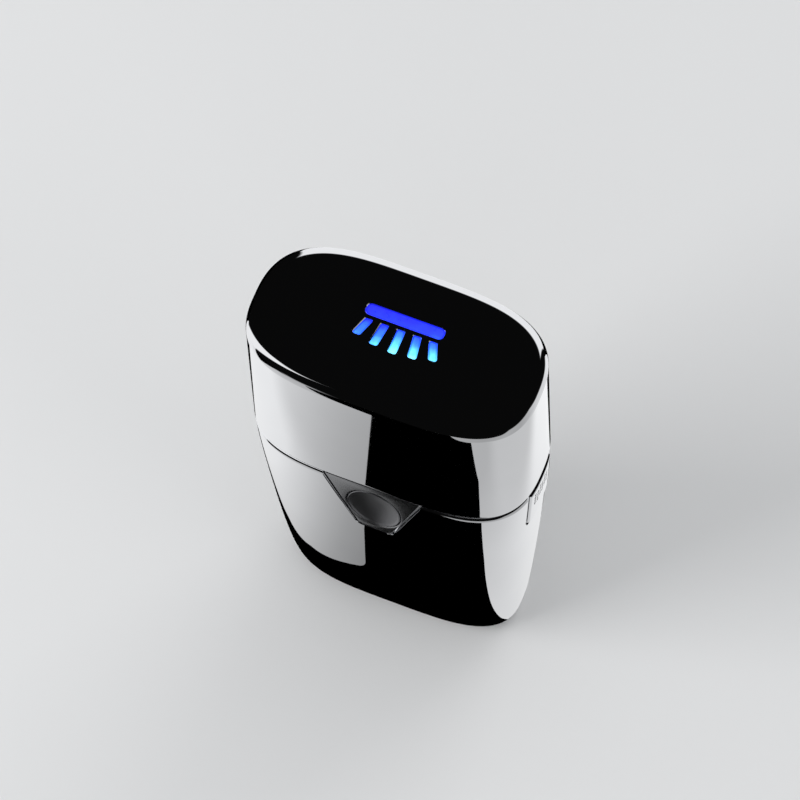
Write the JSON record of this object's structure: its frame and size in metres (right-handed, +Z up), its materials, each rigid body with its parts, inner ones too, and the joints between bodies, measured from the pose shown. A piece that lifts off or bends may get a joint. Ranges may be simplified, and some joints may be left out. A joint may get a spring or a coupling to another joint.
{
  "type": "cordless foil shaver with uv disinfecting cap",
  "caption": "Compact cordless foil shaver in a polished flattened shell, with a lift-off light-disinfecting cap that covers the foils.",
  "frame": {"origin": "middle of the base, on the plane it stands on", "axes": "+Z up through the cap, +X along the long side, -Y towards the front with the power button"},
  "size_m": [0.062, 0.0338, 0.1208],
  "materials": {
    "body_chrome": "mirror polished plated metal",
    "cap_chrome": "mirror polished plated metal",
    "button_chrome": "polished plated metal",
    "panel_dark": "fine matte dark grey",
    "button_satin": "satin dark grey",
    "glow_window": "translucent, lit blue",
    "black_plastic": "fine moulded texture",
    "head_black": "satin moulded",
    "pale_plastic": "moulded acetal",
    "pad_rubber": "matte",
    "seal_rubber": "matte",
    "foil_gold": "etched foil, gold tone",
    "blade_steel": "ground",
    "spring_steel": "drawn",
    "screw_steel": "zinc plated",
    "motor_steel": "drawn can",
    "contact_gold": "gold plated",
    "socket_steel": "stamped",
    "board_green": "solder mask",
    "board_blue": "solder mask",
    "chip_black": "moulded package",
    "coil_copper": "enamelled wire",
    "battery_wrap": "shrink wrap",
    "pouch_foil": "pouch foil",
    "insulator_paper": "fish paper",
    "quartz": "polished quartz",
    "led_package": "ceramic package",
    "led_blue": "lit blue",
    "light_pipe": "clear moulded"
  },
  "bodies": {
    "shaver": {"body_shell": "body_chrome", "base_pad": "pad_rubber", "charge_socket": "socket_steel", "charge_light_pipe": "light_pipe", "charge_led": "led_package", "charge_board": "board_green", "switch_panel": "panel_dark", "tact_switch": "chip_black", "button_seal": "seal_rubber", "main_pcb": "board_green", "control_chip": "chip_black", "charge_coil": "coil_copper", "latch_leaf_left": "spring_steel", "latch_leaf_right": "spring_steel", "chassis": "black_plastic", "battery_cell": "battery_wrap", "battery_insulator": "insulator_paper", "battery_tab_positive": "spring_steel", "battery_tab_negative": "spring_steel", "motor_can": "motor_steel", "motor_end_cap": "black_plastic", "top_deck": "black_plastic", "deck_screw_1": "screw_steel", "deck_screw_2": "screw_steel", "deck_screw_3": "screw_steel", "deck_screw_4": "screw_steel", "neck_seal": "seal_rubber", "contact_pin_left": "contact_gold", "contact_pin_right": "contact_gold"},
    "uv_cap": {"cap_shell": "cap_chrome", "glyph_window": "glow_window", "cap_liner": "black_plastic", "quartz_window_left": "quartz", "quartz_window_right": "quartz", "uv_led_left": "led_package", "uv_led_right": "led_package", "glyph_led_left": "led_blue", "glyph_led_right": "led_blue", "contact_pad_left": "contact_gold", "contact_pad_right": "contact_gold", "uv_board": "board_blue", "cap_battery": "pouch_foil", "cap_switch": "chip_black"},
    "power_button": {"power_button": "button_satin"},
    "release_left": {"release_button_left": "button_chrome"},
    "release_right": {"release_button_right": "button_chrome"},
    "motor_rotor": {"motor_shaft": "screw_steel", "drive_eccentric": "pale_plastic"},
    "drive": {"drive_bracket": "pale_plastic", "cutter_spring_1": "spring_steel", "cutter_spring_2": "spring_steel", "cutter_spring_3": "spring_steel", "cutter_spring_4": "spring_steel"},
    "cutter_front": {"cutter_front": "blade_steel"},
    "cutter_rear": {"cutter_rear": "blade_steel"},
    "foil_head": {"head_frame": "head_black"},
    "foil_front": {"foil_front": "foil_gold", "foil_carrier_front": "head_black"},
    "foil_rear": {"foil_rear": "foil_gold", "foil_carrier_rear": "head_black"}
  },
  "joints": [
    {"name": "cap_lift", "type": "slide", "parent": "shaver", "child": "uv_cap", "axis": [0, 0, 1], "range_m": [0, 0.045]},
    {"name": "power_press", "type": "slide", "parent": "shaver", "child": "power_button", "axis": [0, 1, 0], "range_m": [0, 0.0008], "stiffness_N_per_m": 1200, "springref_m": -0.0005},
    {"name": "release_left_press", "type": "slide", "parent": "shaver", "child": "release_left", "axis": [1, 0, 0], "range_m": [0, 0.0012], "stiffness_N_per_m": 900, "springref_m": -0.0005},
    {"name": "release_right_press", "type": "slide", "parent": "shaver", "child": "release_right", "axis": [-1, 0, 0], "range_m": [0, 0.0012], "stiffness_N_per_m": 900, "springref_m": -0.0005},
    {"name": "motor_spin", "type": "hinge", "parent": "shaver", "child": "motor_rotor", "pos_m": [0, 0.0032, 0.06], "axis": [0, 0, 1], "continuous": true},
    {"name": "drive_slide", "type": "slide", "parent": "shaver", "child": "drive", "axis": [1, 0, 0], "range_m": [-0.001, 0.001], "stiffness_N_per_m": 600},
    {"name": "head_lift", "type": "slide", "parent": "shaver", "child": "foil_head", "axis": [0, 0, 1], "range_m": [0, 0.0065]},
    {"name": "foil_front_float", "type": "slide", "parent": "foil_head", "child": "foil_front", "axis": [0, 0, -1], "range_m": [0, 0.0012], "stiffness_N_per_m": 400, "springref_m": -0.001},
    {"name": "foil_rear_float", "type": "slide", "parent": "foil_head", "child": "foil_rear", "axis": [0, 0, -1], "range_m": [0, 0.0012], "stiffness_N_per_m": 400, "springref_m": -0.001},
    {"name": "cutter_front_float", "type": "slide", "parent": "drive", "child": "cutter_front", "axis": [0, 0, -1], "range_m": [0, 0.0012], "deforming": ["cutter_spring_1", "cutter_spring_2"]},
    {"name": "cutter_rear_float", "type": "slide", "parent": "drive", "child": "cutter_rear", "axis": [0, 0, -1], "range_m": [0, 0.0012], "deforming": ["cutter_spring_3", "cutter_spring_4"]}
  ],
  "couplings": [
    {"joint": "cutter_front_float", "follows": "foil_front_float", "ratio": 1},
    {"joint": "cutter_rear_float", "follows": "foil_rear_float", "ratio": 1}
  ]
}
